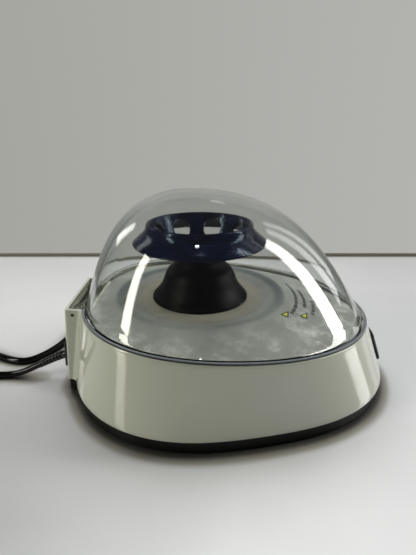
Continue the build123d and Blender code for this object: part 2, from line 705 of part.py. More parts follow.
# plug: moulded body and two flat pins, lying on the bench
pd = (Vector(*TAIL[-1]) - Vector(*TAIL[-2]))
pdir = Vector(pd.X, pd.Y, 0).normalized()
PLUG_O = (TAIL[-1][0] + pdir.X * 11.0, TAIL[-1][1] + pdir.Y * 11.0, 7.0)
plug_plane = Plane(origin=PLUG_O, x_dir=(-pdir.Y, pdir.X, 0), z_dir=(pdir.X, pdir.Y, 0))
with BuildPart() as plug_body:
    with BuildSketch(plug_plane):
        RectangleRounded(15.0, 12.0, 4.0)
    with BuildSketch(plug_plane.offset(14)):
        RectangleRounded(24.0, 13.8, 5.0)
    loft()
    with BuildSketch(plug_plane.offset(14)):
        RectangleRounded(24.0, 13.8, 5.0)
    extrude(amount=7)
    with BuildSketch(plug_plane):
        Circle(3.6)
    with BuildSketch(Plane(origin=TAIL[-1], z_dir=pd)):
        Circle(2.4)
    loft()
save(plug_body, "plug_body")

with BuildPart() as plug_pins:
    for sgn in (1, -1):
        with BuildSketch(plug_plane.offset(21)):
            with Locations((sgn * 6.35, 0)):
                Rectangle(1.5, 6.3)
        extrude(amount=16)
save(plug_pins, "plug_pins")

# ---------------------------------------------------------------- electronics inside
with BuildPart() as circuit_board:
    with BuildSketch(Plane.XY.offset(14.0)):
        with Locations((66, 0)):
            Rectangle(36, 54)
    extrude(amount=1.6)
    with BuildSketch(Plane.XY.offset(FOOT_H + PAN_T)):
        with Locations((52, 24), (52, -24), (80, 24), (80, -24)):
            Circle(2.2)
    extrude(amount=9.0)
save(circuit_board, "circuit_board")

with BuildPart() as board_capacitors:
    for cx, cy, cr, ch in ((58, 16, 5.0, 14.0), (58, 3, 5.0, 14.0), (56, -12, 4.0, 10.0), (68, -18, 4.0, 9.0)):
        with BuildSketch(Plane.XY.offset(15.6)):
            with Locations((cx, cy)):
                Circle(cr)
        extrude(amount=ch)
save(board_capacitors, "board_capacitors")

with BuildPart() as transformer:
    with BuildSketch(Plane.XY.offset(FOOT_H + PAN_T)):
        with Locations((-40, 0)):
            Rectangle(34, 42)
    extrude(amount=5)
    with BuildSketch(Plane.XY.offset(FOOT_H + PAN_T + 5)):
        with Locations((-40, 0)):
            Rectangle(28, 34)
    extrude(amount=22)
save(transformer, "transformer")
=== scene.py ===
import bpy, bmesh
import numpy as np
from math import radians, pi, sin, cos, tan, atan2, hypot, sqrt, degrees
from mathutils import Vector, Matrix


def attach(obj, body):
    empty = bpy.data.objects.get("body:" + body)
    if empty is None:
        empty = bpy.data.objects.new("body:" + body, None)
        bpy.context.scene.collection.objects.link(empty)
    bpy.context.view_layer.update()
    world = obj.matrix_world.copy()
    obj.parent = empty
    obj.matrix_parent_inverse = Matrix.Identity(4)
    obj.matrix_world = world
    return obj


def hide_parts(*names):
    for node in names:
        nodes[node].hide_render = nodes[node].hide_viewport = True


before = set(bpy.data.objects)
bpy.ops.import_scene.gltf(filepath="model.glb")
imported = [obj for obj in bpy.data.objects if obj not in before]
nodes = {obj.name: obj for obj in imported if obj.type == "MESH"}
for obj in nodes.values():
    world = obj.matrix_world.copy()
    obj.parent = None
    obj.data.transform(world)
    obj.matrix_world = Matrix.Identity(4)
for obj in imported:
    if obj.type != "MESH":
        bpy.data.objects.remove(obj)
for stray in ("Cube", "Light", "Camera"):
    if stray in bpy.data.objects:
        bpy.data.objects.remove(bpy.data.objects[stray])
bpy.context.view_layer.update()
scene = bpy.context.scene
scene.view_settings.view_transform = "Standard"

# The drawing is laid out in millimetres about the rotor axis; X_MID moves it to the row frame.
X_MID = 15.79
XO = 15.0
CB = [83.9, -0.63, 8.93, 2.93, -0.57, -0.14]
CR = [77.3, -2.2, 5.7, 1.86, -0.8, 0.35]
Z_SHELL, Z_RIM, TILT = 8.0, 47.2, 0.067
REAR_BZ = (0.164, 0.513, 0.690)
NOSE_BZ = (0.258, 0.579, 0.548)
APEX_X, APEX_Z = -4.0, 112.3


def M(p):
    """Drawing millimetres to row metres."""
    p = np.asarray(p, float)
    q = p * 0.001
    q[..., 0] -= X_MID * 0.001
    return q


def V(x, y, z):
    return Vector(((x - X_MID) * 0.001, y * 0.001, z * 0.001))


# ---------------------------------------------------------------- camera
cam_data = bpy.data.cameras.new("camera")
cam = bpy.data.objects.new("camera", cam_data)
scene.collection.objects.link(cam)
cam_data.sensor_fit = "HORIZONTAL"
cam_data.sensor_width = 36.0
cam_data.lens = 417.0 * 36.0 / 416.0
cam_data.clip_start = 0.01
cam_data.clip_end = 20.0
cam.location = V(4.8, -228.3, 149.0)
cam.rotation_euler = (radians(90.0 - 21.0), 0.0, 0.0)
scene.camera = cam

# ---------------------------------------------------------------- materials


def new_mat(name):
    m = bpy.data.materials.new(name)
    m.use_nodes = True
    nt = m.node_tree
    b = nt.nodes["Principled BSDF"]
    return m, nt, b


def node(nt, kind, **kw):
    n = nt.nodes.new(kind)
    for k, v in kw.items():
        setattr(n, k, v)
    return n


def coords(nt):
    return node(nt, "ShaderNodeTexCoord").outputs["Object"]


def noise(nt, scale, detail=4.0, rough=0.55, vec=None, dims=None):
    n = node(nt, "ShaderNodeTexNoise")
    n.inputs["Scale"].default_value = scale
    n.inputs["Detail"].default_value = detail
    n.inputs["Roughness"].default_value = rough
    nt.links.new(vec if vec is not None else coords(nt), n.inputs["Vector"])
    return n.outputs["Fac"]


def ramp(nt, fac, stops):
    r = node(nt, "ShaderNodeValToRGB")
    els = r.color_ramp.elements
    while len(els) < len(stops):
        els.new(0.5)
    for e, (pos, col) in zip(els, stops):
        e.position = pos
        e.color = (*col, 1.0) if len(col) == 3 else col
    nt.links.new(fac, r.inputs["Fac"])
    return r.outputs["Color"]


def gray(v):
    return (v, v, v)


def remap(nt, fac, a, b, lo=0.0, hi=1.0):
    n = node(nt, "ShaderNodeMapRange")
    n.inputs["From Min"].default_value = lo
    n.inputs["From Max"].default_value = hi
    n.inputs["To Min"].default_value = a
    n.inputs["To Max"].default_value = b
    nt.links.new(fac, n.inputs["Value"])
    return n.outputs["Result"]


def bump(nt, b, height, strength, dist=0.0002):
    n = node(nt, "ShaderNodeBump")
    n.inputs["Strength"].default_value = strength
    n.inputs["Distance"].default_value = dist
    nt.links.new(height, n.inputs["Height"])
    nt.links.new(n.outputs["Normal"], b.inputs["Normal"])


def mixc(nt, fac, a, c, mode="MIX"):
    n = node(nt, "ShaderNodeMix", data_type="RGBA", blend_type=mode)
    if hasattr(fac, "is_linked") or isinstance(fac, bpy.types.NodeSocket):
        nt.links.new(fac, n.inputs["Factor"])
    else:
        n.inputs["Factor"].default_value = fac
    for val, key in ((a, 6), (c, 7)):
        if isinstance(val, bpy.types.NodeSocket):
            nt.links.new(val, n.inputs[key])
        else:
            n.inputs[key].default_value = (*val, 1.0)
    return n.outputs[2]


def moulded(name, base, rough, rough_var=0.06, col_var=0.05, grain=900.0, grain_strength=0.06, coat=0.0, coat_rough=0.05, spec=0.5):
    """Moulded plastic: slightly uneven colour and gloss, and a fine moulding grain."""
    m, nt, b = new_mat(name)
    big = noise(nt, 28.0, 3.0)
    lo = tuple(c * (1 - col_var) for c in base)
    hi = tuple(min(1.0, c * (1 + col_var)) for c in base)
    col = ramp(nt, big, [(0.3, lo), (0.7, hi)])
    nt.links.new(col, b.inputs["Base Color"])
    fine = noise(nt, 160.0, 5.0)
    nt.links.new(remap(nt, fine, max(0.02, rough - rough_var), rough + rough_var, 0.3, 0.7), b.inputs["Roughness"])
    bump(nt, b, noise(nt, grain, 2.0), grain_strength)
    b.inputs["Coat Weight"].default_value = coat
    b.inputs["Coat Roughness"].default_value = coat_rough
    b.inputs["Specular IOR Level"].default_value = spec
    return m, nt, b


def metal(name, base, rough, grain=1200.0):
    m, nt, b = new_mat(name)
    b.inputs["Metallic"].default_value = 1.0
    n = noise(nt, grain, 3.0)
    nt.links.new(ramp(nt, n, [(0.35, tuple(c * 0.9 for c in base)), (0.65, base)]), b.inputs["Base Color"])
    nt.links.new(remap(nt, noise(nt, 300.0, 4.0), rough * 0.75, rough * 1.3, 0.3, 0.7), b.inputs["Roughness"])
    return m


# glossy ivory shell: faint dust specks in scattered patches
ivory, nt, b = moulded("ivory_plastic", (0.442, 0.457, 0.375), 0.10, 0.03, 0.02, 700.0, 0.012, coat=0.6, coat_rough=0.03)
vor = node(nt, "ShaderNodeTexVoronoi")
vor.inputs["Scale"].default_value = 75.0
nt.links.new(coords(nt), vor.inputs["Vector"])
speck = ramp(nt, vor.outputs["Distance"], [(0.012, gray(1.0)), (0.028, gray(0.0))])
mask = ramp(nt, noise(nt, 14.0, 2.0), [(0.60, gray(0.0)), (0.66, gray(1.0))])
both = mixc(nt, 1.0, speck, mask, "MULTIPLY")
old = b.inputs["Base Color"].links[0].from_socket
nt.links.new(mixc(nt, both, old, (0.16, 0.13, 0.09)), b.inputs["Base Color"])

pan_black, nt, b = moulded("pan_black", (0.005, 0.005, 0.0058), 0.40, 0.1, 0.25, 1600.0, 0.25, spec=0.22)
rocker_black, nt, b = moulded("rocker_black", (0.008, 0.008, 0.009), 0.22, 0.05, 0.1, 900.0, 0.05)
cowl_black, nt, b = moulded("cowl_black", (0.0010, 0.0012, 0.0013), 0.42, 0.07, 0.2, 1500.0, 0.05, spec=0.06)
cord_black, nt, b = moulded("cord_pvc", (0.0022, 0.0022, 0.0026), 0.13, 0.04, 0.1, 500.0, 0.02, spec=0.3)
plug_black, nt, b = moulded("plug_pvc", (0.004, 0.004, 0.0046), 0.34, 0.08, 0.1, 1200.0, 0.12, spec=0.3)
foot_rubber, nt, b = moulded("foot_rubber", (0.02, 0.02, 0.021), 0.75, 0.1, 0.2, 1500.0, 0.3)
light_grey, nt, b = moulded("light_grey", (0.42, 0.42, 0.39), 0.38, 0.06, 0.05, 900.0, 0.08)
board_green, nt, b = moulded("board_green", (0.02, 0.12, 0.05), 0.35, 0.05, 0.3, 600.0, 0.1)
core_dark, nt, b = moulded("core_varnish", (0.05, 0.05, 0.055), 0.45, 0.1, 0.3, 600.0, 0.3)
steel = metal("steel", (0.52, 0.52, 0.54), 0.3)
pin_steel = metal("pin_steel", (0.10, 0.09, 0.08), 0.45)
alu = metal("aluminium", (0.72, 0.72, 0.74), 0.24)
alu_dark = metal("aluminium_dark", (0.22, 0.22, 0.25), 0.35)
brass = metal("plated_brass", (0.72, 0.62, 0.40), 0.25)

# deck: pale grey-green plastic, browner towards the cowl, with painted shade in a dark band on the ring's inner slope
# that is deeper on the far half; dusty and scratched near the rim
deck_mat, nt, b = new_mat("deck_plastic")
co = coords(nt)
sep = node(nt, "ShaderNodeSeparateXYZ")
mapn = node(nt, "ShaderNodeMapping")
mapn.inputs["Location"].default_value = (X_MID * 0.001, 0.0, 0.0)
nt.links.new(co, mapn.inputs["Vector"])
nt.links.new(mapn.outputs["Vector"], sep.inputs["Vector"])
cmb = node(nt, "ShaderNodeCombineXYZ")
nt.links.new(sep.outputs["X"], cmb.inputs["X"])
nt.links.new(sep.outputs["Y"], cmb.inputs["Y"])
ln = node(nt, "ShaderNodeVectorMath", operation="LENGTH")
nt.links.new(cmb.outputs["Vector"], ln.inputs[0])
rad = ln.outputs["Value"]
rin = [(0.0, (0.335, 0.315, 0.26)), (0.21, (0.325, 0.312, 0.265)), (0.29, (0.275, 0.28, 0.255)), (0.37, (0.28, 0.295, 0.28))]
rout = [(0.50, (0.285, 0.303, 0.285)), (1.0, (0.285, 0.295, 0.272))]
# painted shade: the band just inside the ring's crest is painted dark, darker on the far half than on the near half
deck_tone_far_shaded = ramp(nt, remap(nt, rad, 0.0, 1.0, 0.020, 0.080), rin + [(0.415, (0.135, 0.160, 0.160)), (0.46, (0.155, 0.178, 0.176))] + rout)
deck_tone_near_shaded = ramp(nt, remap(nt, rad, 0.0, 1.0, 0.020, 0.080), rin + [(0.42, (0.245, 0.262, 0.25)), (0.46, (0.25, 0.268, 0.255))] + rout)
deck_tone_ring_shade = mixc(nt, ramp(nt, remap(nt, sep.outputs["Y"], 0.0, 1.0, -0.050, 0.0), [(0.0, gray(0.0)), (1.0, gray(1.0))]), deck_tone_near_shaded, deck_tone_far_shaded)
mott = ramp(nt, noise(nt, 45.0, 6.0, 0.65), [(0.30, gray(0.76)), (0.70, gray(1.15))])
c1 = mixc(nt, 1.0, mixc(nt, 1.0, deck_tone_ring_shade, (0.79, 0.775, 0.775), "MULTIPLY"), mott, "MULTIPLY")
dust = ramp(nt, noise(nt, 90.0, 8.0, 0.75), [(0.49, gray(0.0)), (0.68, gray(1.0))])
edge_mask = ramp(nt, remap(nt, rad, 0.0, 1.0, 0.050, 0.075), [(0.0, gray(0.0)), (1.0, gray(0.8))])
dm = mixc(nt, 1.0, dust, edge_mask, "MULTIPLY")
nt.links.new(mixc(nt, dm, c1, (0.58, 0.59, 0.57)), b.inputs["Base Color"])
nt.links.new(remap(nt, noise(nt, 120.0, 5.0), 0.34, 0.52, 0.3, 0.7), b.inputs["Roughness"])
b.inputs["Specular IOR Level"].default_value = 0.3
bump(nt, b, noise(nt, 1300.0, 2.0), 0.08)

# rotor: glossy blue-black with fine turning marks
rotor_mat, nt, b = new_mat("rotor_blueblack")
nt.links.new(ramp(nt, noise(nt, 60.0, 4.0), [(0.3, (0.0010, 0.0018, 0.007)), (0.7, (0.002, 0.0045, 0.018))]), b.inputs["Base Color"])
b.inputs["Roughness"].default_value = 0.13
b.inputs["Specular IOR Level"].default_value = 0.24
b.inputs["Specular Tint"].default_value = (0.60, 0.76, 1.0, 1.0)
b.inputs["Anisotropic"].default_value = 0.65
tg = node(nt, "ShaderNodeTangent", direction_type="RADIAL", axis="Z")
nt.links.new(tg.outputs["Tangent"], b.inputs["Tangent"])
sepr = node(nt, "ShaderNodeSeparateXYZ")
nt.links.new(coords(nt), sepr.inputs["Vector"])
zz = node(nt, "ShaderNodeMath", operation="MULTIPLY")
zz.inputs[1].default_value = 1.0
nt.links.new(sepr.outputs["Z"], zz.inputs[0])
rings = node(nt, "ShaderNodeTexNoise", noise_dimensions="1D")
rings.inputs["Scale"].default_value = 5200.0
rings.inputs["Detail"].default_value = 2.0
nt.links.new(zz.outputs[0], rings.inputs["W"])
bump(nt, b, rings.outputs["Fac"], 0.06, 0.0001)

# clear lid: polycarbonate, faint smudges; lamps reach what is under it
clear, nt, b = new_mat("clear_polycarbonate")
b.inputs["Base Color"].default_value = (0.87, 0.885, 0.87, 1.0)
b.inputs["Specular IOR Level"].default_value = 0.36
b.inputs["Transmission Weight"].default_value = 1.0
b.inputs["IOR"].default_value = 1.52
nt.links.new(ramp(nt, noise(nt, 35.0, 6.0, 0.7), [(0.50, gray(0.012)), (0.80, gray(0.05))]), b.inputs["Roughness"])
lp = node(nt, "ShaderNodeLightPath")
tr = node(nt, "ShaderNodeBsdfTransparent")
tr.inputs["Color"].default_value = (0.93, 0.94, 0.93, 1.0)
mx = node(nt, "ShaderNodeMixShader")
nt.links.new(lp.outputs["Is Shadow Ray"], mx.inputs[0])
nt.links.new(b.outputs[0], mx.inputs[1])
nt.links.new(tr.outputs[0], mx.inputs[2])
nt.links.new(mx.outputs[0], nt.nodes["Material Output"].inputs["Surface"])

# painted light and shade on the lid's flange: a dark outer face stands in for the dark seen through the clear flange, a
# blue-grey top face for its reflection, and a pale rear half for the light seen through it
flange_shade_mat, nt, b = moulded("lid_flange_painted_shade", (0.022, 0.025, 0.025), 0.32, 0.04, 0.1, 900.0, 0.02, spec=0.3)
flange_reflection_mat, nt, b = moulded("lid_flange_painted_reflection", (0.115, 0.130, 0.140), 0.30, 0.04, 0.15, 900.0, 0.02, spec=0.35)
flange_light_mat, nt, b = moulded("lid_flange_painted_light", (0.36, 0.37, 0.35), 0.40, 0.04, 0.1, 900.0, 0.02, spec=0.3)

# generic printed marks on the deck
ink, nt, b = moulded("mark_ink", (0.012, 0.016, 0.018), 0.5, 0.05, 0.2, 800.0, 0.0)
yellow, nt, b = moulded("mark_yellow", (0.42, 0.42, 0.03), 0.5, 0.05, 0.15, 800.0, 0.0)

# ---------------------------------------------------------------- mesh helpers


def new_obj(name, verts, faces, mat, smooth=True, angle=32.0):
    me = bpy.data.meshes.new(name)
    me.from_pydata([tuple(v) for v in verts], [], faces)
    me.validate()
    ob = bpy.data.objects.new(name, me)
    scene.collection.objects.link(ob)
    if mat is not None:
        me.materials.append(mat)
    if smooth:
        me.polygons.foreach_set("use_smooth", [True] * len(me.polygons))
        me.set_sharp_from_angle(angle=radians(angle))
    me.update()
    return ob


def fix_normals(ob):
    bm = bmesh.new()
    bm.from_mesh(ob.data)
    bmesh.ops.recalc_face_normals(bm, faces=bm.faces[:])
    if bm.calc_volume(signed=True) < 0:
        bmesh.ops.reverse_faces(bm, faces=bm.faces[:])
    bm.to_mesh(ob.data)
    bm.free()
    ob.data.update()


def skin(name, rings, mat, closed=False, pole_first=False, pole_last=False, cap_first=False, cap_last=False, angle=32.0, origin=None):
    """Skins a list of closed rings of points, in drawing millimetres."""
    n = len(rings[0])
    verts = [tuple(v) for r in rings for v in M(r)]
    faces = []
    k = len(rings)
    for j in range(k if closed else k - 1):
        a, b2 = j * n, ((j + 1) % k) * n
        for i in range(n):
            i2 = (i + 1) % n
            faces.append((a + i, a + i2, b2 + i2, b2 + i))
    if pole_first:
        c = np.mean(M(rings[0]), 0)
        verts.append(tuple(c))
        for i in range(n):
            faces.append((len(verts) - 1, (i + 1) % n, i))
    if pole_last:
        c = np.mean(M(rings[-1]), 0)
        verts.append(tuple(c))
        for i in range(n):
            faces.append((len(verts) - 1, (k - 1) * n + i, (k - 1) * n + (i + 1) % n))
    if cap_first:
        faces.append(tuple(range(n - 1, -1, -1)))
    if cap_last:
        faces.append(tuple((k - 1) * n + i for i in range(n)))
    ob = new_obj(name, verts, faces, mat, angle=angle)
    fix_normals(ob)
    if origin is not None:
        o = V(*origin)
        ob.data.transform(Matrix.Translation(-o))
        ob.location = o
    return ob


def lathe(name, profile, mat, n=192, centre=(0.0, 0.0), closed=True, angle=32.0, origin=None):
    """Turns a closed (r, z) profile about the vertical through centre."""
    a = np.linspace(0, 2 * pi, n, endpoint=False)
    rings = [np.stack([centre[0] + r * np.cos(a), centre[1] + r * np.sin(a), np.full(n, z)], 1) for r, z in profile]
    return skin(name, rings, mat, closed=closed, angle=angle, origin=origin)


def catmull(pts, per=6):
    """Smooth curve through points, open."""
    p = np.asarray(pts, float)
    p = np.vstack([2 * p[0] - p[1], p, 2 * p[-1] - p[-2]])
    out = []
    for i in range(1, len(p) - 2):
        for t in np.linspace(0, 1, per, endpoint=False):
            a, b1, c, d = p[i - 1], p[i], p[i + 1], p[i + 2]
            out.append(0.5 * ((2 * b1) + (-a + c) * t + (2 * a - 5 * b1 + 4 * c - d) * t * t + (-a + 3 * b1 - 3 * c + d) * t ** 3))
    out.append(p[-2])
    return [tuple(q) for q in out]


def round_corners(pts, radii, seg=5, closed=True):
    """Rounds the corners of a 2-D outline."""
    out = []
    n = len(pts)
    for i in range(n):
        p = np.array(pts[i], float)
        r = radii[i]
        if r <= 0 or (not closed and i in (0, n - 1)):
            out.append(tuple(p))
            continue
        a, c = np.array(pts[i - 1], float), np.array(pts[(i + 1) % n], float)
        u, v = (a - p) / np.linalg.norm(a - p), (c - p) / np.linalg.norm(c - p)
        ang = np.arccos(np.clip(u @ v, -1, 1))
        d = r / tan(ang / 2)
        s, e = p + u * d, p + v * d
        bis = (u + v) / np.linalg.norm(u + v)
        cen = p + bis * (r / sin(ang / 2))
        a0, a1 = atan2(*(s - cen)[::-1]), atan2(*(e - cen)[::-1])
        da = (a1 - a0 + pi) % (2 * pi) - pi
        for k in range(seg + 1):
            t = a0 + da * k / seg
            out.append((cen[0] + r * cos(t), cen[1] + r * sin(t)))
    return out


def boolean(ob, cutters, op="DIFFERENCE", angle=32.0):
    for c in cutters:
        md = ob.modifiers.new("b", "BOOLEAN")
        md.operation = op
        md.solver = "EXACT"
        md.object = c
        bpy.context.view_layer.update()
        dg = bpy.context.evaluated_depsgraph_get()
        me = bpy.data.meshes.new_from_object(ob.evaluated_get(dg))
        ob.modifiers.clear()
        ob.data = me
    for c in cutters:
        bpy.data.objects.remove(c)
    ob.data.polygons.foreach_set("use_smooth", [True] * len(ob.data.polygons))
    ob.data.set_sharp_from_angle(angle=radians(angle))
    ob.data.update()
    return ob


def box_obj(x0, x1, y0, y1, z0, z1, name="cut"):
    v = [M((x, y, z)) for x in (x0, x1) for y in (y0, y1) for z in (z0, z1)]
    f = [(0, 1, 3, 2), (4, 6, 7, 5), (0, 4, 5, 1), (2, 3, 7, 6), (0, 2, 6, 4), (1, 5, 7, 3)]
    ob = new_obj(name, v, f, None, smooth=False)
    fix_normals(ob)
    return ob


def tube_obj(p0, p1, r, n=48, name="cut"):
    p0, p1 = M(p0), M(p1)
    d = Vector(p1 - p0)
    z = d.normalized()
    x = z.orthogonal().normalized()
    y = z.cross(x)
    v, f = [], []
    for base in (p0, p1):
        for i in range(n):
            a = 2 * pi * i / n
            q = Vector(base) + (x * cos(a) + y * sin(a)) * r * 0.001
            v.append(tuple(q))
    for i in range(n):
        j = (i + 1) % n
        f.append((i, j, n + j, n + i))
    f.append(tuple(range(n - 1, -1, -1)))
    f.append(tuple(range(n, 2 * n)))
    ob = new_obj(name, v, f, None, smooth=False)
    fix_normals(ob)
    return ob


def hull_prism(name, outline2, frame4, z0, z1, mat=None, bev=0.0, seg=4, angle=32.0):
    """A flat outline (u, v) pushed along its normal from z0 to z1, with rounded long edges.
    frame4 = origin, u axis, v axis, normal, in drawing millimetres."""
    o, ua, va, na = [np.array(q, float) for q in frame4]
    pts = np.asarray(outline2, float)
    c = pts.mean(0)
    rings = []

    def ring(off, z):
        q = inset2(pts, off)
        rings.append(o + q[:, :1] * ua + q[:, 1:] * va + z * na)
    if bev > 0:
        for k in range(seg + 1):
            t = pi / 2 * k / seg
            ring(bev * (1 - sin(t)), z0 + bev * (1 - cos(t)))
        for k in range(seg + 1):
            t = pi / 2 * (1 - k / seg)
            ring(bev * (1 - sin(t)), z1 - bev * (1 - cos(t)))
    else:
        ring(0, z0)
        ring(0, z1)
    return skin(name, rings, mat, cap_first=True, cap_last=True, angle=angle)


def inset2(p, off):
    """Moves a closed counter-clockwise outline in by off."""
    if off == 0:
        return p.copy()
    nxt, prv = np.roll(p, -1, 0), np.roll(p, 1, 0)
    t = nxt - prv
    t /= np.linalg.norm(t, axis=1)[:, None] + 1e-12
    nrm = np.stack([-t[:, 1], t[:, 0]], 1)
    return p + nrm * off


def join(name, objs, mat=None):
    for o in bpy.context.selected_objects:
        o.select_set(False)
    bm = bmesh.new()
    for o in objs:
        t = o.data.copy()
        t.transform(o.matrix_world)
        bm.from_mesh(t)
    me = bpy.data.meshes.new(name)
    bm.to_mesh(me)
    bm.free()
    ob = bpy.data.objects.new(name, me)
    scene.collection.objects.link(ob)
    me.materials.append(mat)
    for o in objs:
        bpy.data.objects.remove(o)
    me.polygons.foreach_set("use_smooth", [True] * len(me.polygons))
    me.set_sharp_from_angle(angle=radians(32))
    return ob


# ---------------------------------------------------------------- planform
N = 288
TH = np.linspace(0, 2 * pi, N, endpoint=False)


def planform(c, inset=0.0, th=TH):
    """Points of the egg-shaped outline, moved in along its normal; inset may vary by point."""
    r = sum(c[k] * np.cos(k * th) for k in range(6))
    dr = -sum(k * c[k] * np.sin(k * th) for k in range(6))
    tx, ty = dr * np.cos(th) - r * np.sin(th), dr * np.sin(th) + r * np.cos(th)
    t = np.hypot(tx, ty)
    return np.stack([XO + r * np.cos(th) - inset * ty / t, r * np.sin(th) + inset * tx / t], 1)


def rim_ring(inset, dz, th=TH):
    p = planform(CR, inset, th)
    return np.column_stack([p, Z_RIM - TILT * p[:, 0] + dz])


def wall(inset, s, th=TH):
    """Ring on the shell's wall; s runs from 0 at the lower edge to 1 at the rim."""
    b0, r0 = planform(CB, inset, th), planform(CR, inset, th)
    zr = Z_RIM - TILT * r0[:, 0]
    xy = b0 + s * (r0 - b0)
    return np.column_stack([xy, Z_SHELL + s * (zr - Z_SHELL)])


# ---------------------------------------------------------------- the lead, first of all
ZC = 2.05
CORD_Z = 17.4


def back_x(z):
    return -76.0 + (z - 8.0) * 3.0 / (Z_RIM + TILT * 73.0 - 8.0)


RA = (back_x(CORD_Z) - 5.2, -11.0, CORD_Z)
RB_ = (-97.5, -10.9, 9.0)
P1 = (RB_[0] + (RA[0] - RB_[0]) * (ZC - RB_[2]) / (RA[2] - RB_[2]), -10.82, ZC)
route = [(back_x(CORD_Z) - 1.0, -11.0, CORD_Z), RA, RB_, P1,
         (-126.0, -11.4, ZC), (-142.0, -15.0, ZC), (-159.0, -20.5, ZC), (-176.0, -20.5, ZC),
         (-191.5, -11.0, ZC), (-197.5, 6.5, ZC), (-190.5, 24.5, ZC), (-173.0, 32.5, ZC), (-155.5, 24.5, ZC),
         (-139.0, 13.5, ZC), (-118.0, 3.4, ZC), (-107.8, 6.0, ZC), (-97.2, 23.4, ZC), (-94.0, 44.0, ZC), (-93.5, 62.5, ZC),
         (-85.0, 77.5, ZC), (-70.0, 84.5, ZC), (-54.5, 84.9, ZC)]
CX, CY = -38.0, 114.0
turns = []
steps = 14
# lower layer: three turns winding in
T0 = 3.0
for k in range(0, int(T0 * steps) + 1):
    tt = k / steps
    a = radians(-90) + 2 * pi * tt
    r = 29.0 - 4.02 * tt
    turns.append((CX + r * cos(a), CY + r * sin(a), ZC))
# climb, then three turns winding out on top
climb = 2
for k in range(1, climb + 1):
    a = radians(-90) + 2 * pi * (T0 + k / steps)
    r = 29.0 - 4.02 * T0 - 0.02
    turns.append((CX + r * cos(a), CY + r * sin(a), ZC + 4.1 * k / (climb + 0.0)))
for k in range(1, int(T0 * steps) - climb + 1):
    tt = k / (T0 * steps - climb)
    a = radians(-90) + 2 * pi * (T0 + (climb + k) / steps)
    r = (29.0 - 4.02 * T0) + (29.0 - (29.0 - 4.02 * T0)) * tt
    turns.append((CX + r * cos(a), CY + r * sin(a), ZC + 4.1))
tail = [(-20.0, 85.0, 5.0), (-3.0, 86.0, 2.4), (17.0, 88.0, ZC), (35.0, 91.0, ZC), (51.0, 95.0, 3.4), (66.5, 98.9, 6.9)]
lead_pts = route + turns[1:] + tail
crv = bpy.data.curves.new("mains_lead", "CURVE")
crv.dimensions = "3D"
sp = crv.splines.new("NURBS")
sp.points.add(len(lead_pts) - 1)
for pt, q in zip(sp.points, lead_pts):
    pt.co = (*V(*q), 1.0)
sp.order_u = 3
sp.use_endpoint_u = True
sp.resolution_u = 10
crv.bevel_depth = 0.0019
crv.bevel_resolution = 6
crv.use_fill_caps = True
crv.materials.append(cord_black)
lead = bpy.data.objects.new("mains_lead", crv)
scene.collection.objects.link(lead)
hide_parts("power_cord", "cord_coil", "cord_tail")
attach(lead, "base")


def spline_length(ob):
    """Length of the lead's own line."""
    c = ob.data.copy()
    c.bevel_depth = 0.0
    c.use_fill_caps = False
    t = bpy.data.objects.new("tmp", c)
    scene.collection.objects.link(t)
    bpy.context.view_layer.update()
    me = bpy.data.meshes.new_from_object(t.evaluated_get(bpy.context.evaluated_depsgraph_get()))
    co = [v.co.copy() for v in me.vertices]
    bpy.data.objects.remove(t)
    return sum((co[i + 1] - co[i]).length for i in range(len(co) - 1)), co


lead_len, lead_line = spline_length(lead)
print("lead length m", round(lead_len, 4))

# ---------------------------------------------------------------- shell with the hinge box
BH = 24.5
prof = [(0.5, 0.0), (0.25, 0.002), (0.07, 0.006), (0.0, 0.013)]
prof += [(0.0, s) for s in np.linspace(0.08, 0.93, 9)]
prof += [(0.0, 0.987), (0.07, 0.9945), (0.22, 0.9988), (0.5, 1.0), (2.0, 1.0), (2.3, 0.9985), (2.5, 0.992)]
prof += [(2.5, s) for s in (0.8, 0.5, 0.2, 0.0)]
shell = skin("shell_wall", [wall(i, s) for i, s in prof], ivory, closed=True)

RF = 3.6   # fillet where the hinge box grows out of the wall


def block_section(s):
    """Outline of the hinge box at wall fraction s, half of it mirrored."""
    fine = np.linspace(pi - 0.7, pi + 0.7, 3001)
    xy = wall(0.0, s, fine)[:, :2]
    yc = -(BH + RF)
    side = xy[xy[:, 1] < 0]
    lo, hi = -90.0, float(side[np.abs(side[:, 1] - yc).argmin(), 0])
    for _ in range(50):
        xc = (lo + hi) / 2
        d = np.hypot(xy[:, 0] - xc, xy[:, 1] - yc).min()
        if d > RF:
            lo = xc
        else:
            hi = xc
    k = np.hypot(xy[:, 0] - xc, xy[:, 1] - yc).argmin()
    T = xy[k]
    u = (T - np.array([xc, yc])) / np.linalg.norm(T - np.array([xc, yc]))
    a0, a1 = atan2(u[1], u[0]), pi / 2
    half = [tuple(T + u * 1.6)]
    for j in range(9):
        a = a0 + (a1 - a0) * j / 8
        half.append((xc + RF * cos(a), yc + RF * sin(a)))
    xr = -76.0 + 3.0 * s
    R = 1.3
    for j in range(9):
        a = -pi / 2 - (pi / 2) * j / 8
        half.append((xr + R + R * cos(a), -BH + R + R * sin(a)))
    half.append((xr, -8.0))
    pts = [(-58.5, -20.0)] + half + [(x, -y) for x, y in half[::-1]] + [(-58.5, 20.0)]
    out = []
    for x, y in pts:
        zr = Z_RIM - TILT * x
        out.append((x, y, Z_SHELL + s * (zr - Z_SHELL)))
    return np.array(out)


def shrink(sec, off):
    p = inset2(sec[::-1, :2].copy(), off)[::-1] if area2(sec) < 0 else inset2(sec[:, :2].copy(), off)
    z = Z_SHELL + (sec[:, 2] - Z_SHELL)
    return np.column_stack([p, z])


def area2(sec):
    x, y = sec[:, 0], sec[:, 1]
    return 0.5 * float(np.sum(x * np.roll(y, -1) - y * np.roll(x, -1)))


